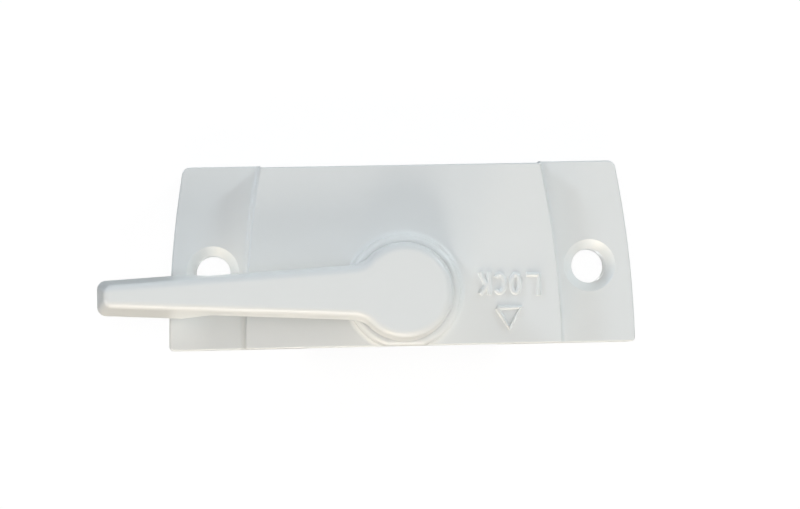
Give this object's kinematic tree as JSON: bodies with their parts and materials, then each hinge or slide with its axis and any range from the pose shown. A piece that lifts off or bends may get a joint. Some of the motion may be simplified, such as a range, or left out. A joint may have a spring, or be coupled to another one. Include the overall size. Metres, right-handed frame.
{
  "type": "sliding window lock",
  "caption": "Surface-mounted sliding window lock: cast housing with countersunk screw ears and a boss that carries a tapered lever, which turns a hooked cam out past the lower edge.",
  "frame": {"origin": "midway between the two screw holes, on the face that meets the window", "axes": "+X along the housing, away from the lever as it rests; +Y towards the upper long edge; +Z out of the window into the room"},
  "size_m": [0.0902, 0.0308, 0.0149],
  "materials": {
    "white_enamel": "smooth semi-gloss white enamel on cast zinc",
    "plated_zinc": "cast zinc, bare and tumbled",
    "spring_steel": "rolled spring steel strip",
    "plated_steel": "zinc-plated steel"
  },
  "bodies": {
    "housing": {"housing": "white_enamel", "detent_spring": "spring_steel"},
    "lever": {"lever": "white_enamel", "cam": "plated_zinc", "spring_washer": "spring_steel", "retaining_washer": "plated_steel"}
  },
  "joints": [
    {"name": "lever_turn", "type": "hinge", "parent": "housing", "child": "lever", "pos_m": [0, -0.004, 0], "axis": [0, 0, -1], "range_deg": [0, 180], "deforming": ["detent_spring"]}
  ]
}
